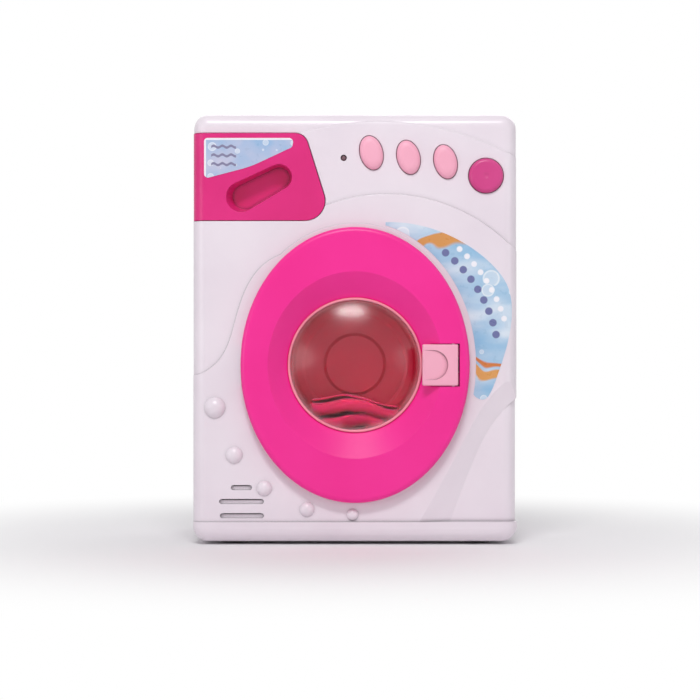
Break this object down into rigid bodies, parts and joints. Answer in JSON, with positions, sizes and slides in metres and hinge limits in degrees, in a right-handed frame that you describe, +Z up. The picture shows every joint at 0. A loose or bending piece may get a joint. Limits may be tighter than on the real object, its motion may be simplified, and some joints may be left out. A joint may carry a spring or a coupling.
{
  "type": "toy washing machine",
  "caption": "Front-loading toy washing machine: white rounded cabinet, pink oval door with domed window and pull handle, pull-out detergent drawer, push buttons and a motor-driven drum.",
  "frame": {"origin": "on the surface it stands on, under the middle of its box", "axes": "+Z up, -Y out of the front, +X to the right seen from the front"},
  "size_m": [0.1808, 0.1222, 0.24],
  "materials": {
    "white_shell": "glossy moulded ABS, faintly pink white",
    "hot_pink": "glossy moulded ABS, hot pink",
    "tray_pink": "moulded polypropylene, pink",
    "pale_pink": "satin moulded ABS, pale pink",
    "gasket": "soft pale pink ring",
    "button_pink": "glossy moulded ABS, deep pink",
    "clear_window": "clear moulded polystyrene",
    "drum_pink": "moulded polypropylene, deep pink",
    "steel": "zinc plated steel",
    "foot_rubber": "soft rubber",
    "label": null,
    "switch_black": "black moulded plastic",
    "circuit_board": "green lacquered laminate",
    "lamp_lens": "tinted epoxy",
    "cone_paper": "pressed pale paper",
    "gear_nylon": "natural acetal",
    "bush_brass": "turned brass",
    "cell_jacket": "plain printed jacket",
    "laundry_cloth": "soft woven cotton, dark pink"
  },
  "bodies": {
    "cabinet": {"front_shell": "white_shell", "rear_shell": "white_shell", "battery_cover": "white_shell", "drawer_sleeve": "tray_pink", "case_screws": "steel", "sleeve_screws": "steel", "board_screws": "steel", "speaker_screws": "steel", "reduction_axle": "steel", "gear_case_screws": "steel", "cover_screw": "steel", "motor_can": "steel", "speaker_basket": "steel", "foot_pads": "foot_rubber", "front_label": "label", "switches": "switch_black", "sound_chip": "switch_black", "motor_end_cap": "switch_black", "speaker_clamp": "switch_black", "gear_case": "switch_black", "gear_cover": "switch_black", "control_board": "circuit_board", "status_lamp": "lamp_lens", "speaker_cone": "cone_paper", "shaft_bushes": "bush_brass", "battery_contacts": "bush_brass", "cells": "cell_jacket"},
    "door": {"door_frame": "hot_pink", "window": "clear_window", "window_gasket": "gasket", "window_retainer": "tray_pink", "retainer_screws": "steel", "door_hinge_pin": "steel", "handle_pin": "steel"},
    "handle": {"door_handle": "pale_pink"},
    "drawer": {"drawer_front": "hot_pink", "drawer_tray": "tray_pink", "drawer_screws": "steel", "drawer_label": "label"},
    "drum": {"drum": "drum_pink", "drum_shaft": "steel", "drum_gear": "gear_nylon", "laundry": "laundry_cloth"},
    "reduction": {"reduction_gear": "gear_nylon"},
    "rotor": {"motor_rotor": "steel", "motor_pinion": "gear_nylon"},
    "left_key": {"left_button": "pale_pink", "left_plunger": "switch_black"},
    "middle_key": {"middle_button": "pale_pink", "middle_plunger": "switch_black"},
    "right_key": {"right_button": "pale_pink", "right_plunger": "switch_black"},
    "power_key": {"power_button": "button_pink", "power_plunger": "switch_black"}
  },
  "joints": [
    {"name": "door_hinge", "type": "hinge", "parent": "cabinet", "child": "door", "pos_m": [-0.0605, -0.0569, 0.1], "axis": [0, 0, -1], "range_deg": [0, 105]},
    {"name": "handle_pull", "type": "hinge", "parent": "door", "child": "handle", "pos_m": [0.0543, -0.0583, 0.1], "axis": [0, 0, 1], "range_deg": [0, 15]},
    {"name": "drawer_slide", "type": "slide", "parent": "cabinet", "child": "drawer", "axis": [0, -1, 0], "range_m": [0, 0.045]},
    {"name": "drum_spin", "type": "hinge", "parent": "cabinet", "child": "drum", "pos_m": [0, 0.0031, 0.1], "axis": [0, 1, 0], "continuous": true},
    {"name": "reduction_spin", "type": "hinge", "parent": "cabinet", "child": "reduction", "pos_m": [0.02494, 0.0106, 0.1144], "axis": [0, 1, 0], "continuous": true},
    {"name": "motor_spin", "type": "hinge", "parent": "cabinet", "child": "rotor", "pos_m": [0.03394, 0.0158, 0.12999], "axis": [0, 1, 0], "continuous": true},
    {"name": "left_press", "type": "slide", "parent": "cabinet", "child": "left_key", "axis": [0, 1, 0], "range_m": [0, 0.0015], "stiffness_N_per_m": 300},
    {"name": "middle_press", "type": "slide", "parent": "cabinet", "child": "middle_key", "axis": [0, 1, 0], "range_m": [0, 0.0015], "stiffness_N_per_m": 300},
    {"name": "right_press", "type": "slide", "parent": "cabinet", "child": "right_key", "axis": [0, 1, 0], "range_m": [0, 0.0015], "stiffness_N_per_m": 300},
    {"name": "power_press", "type": "slide", "parent": "cabinet", "child": "power_key", "axis": [0, 1, 0], "range_m": [0, 0.0015], "stiffness_N_per_m": 300}
  ],
  "couplings": [
    {"joint": "reduction_spin", "follows": "drum_spin", "ratio": -5},
    {"joint": "motor_spin", "follows": "drum_spin", "ratio": 25}
  ]
}
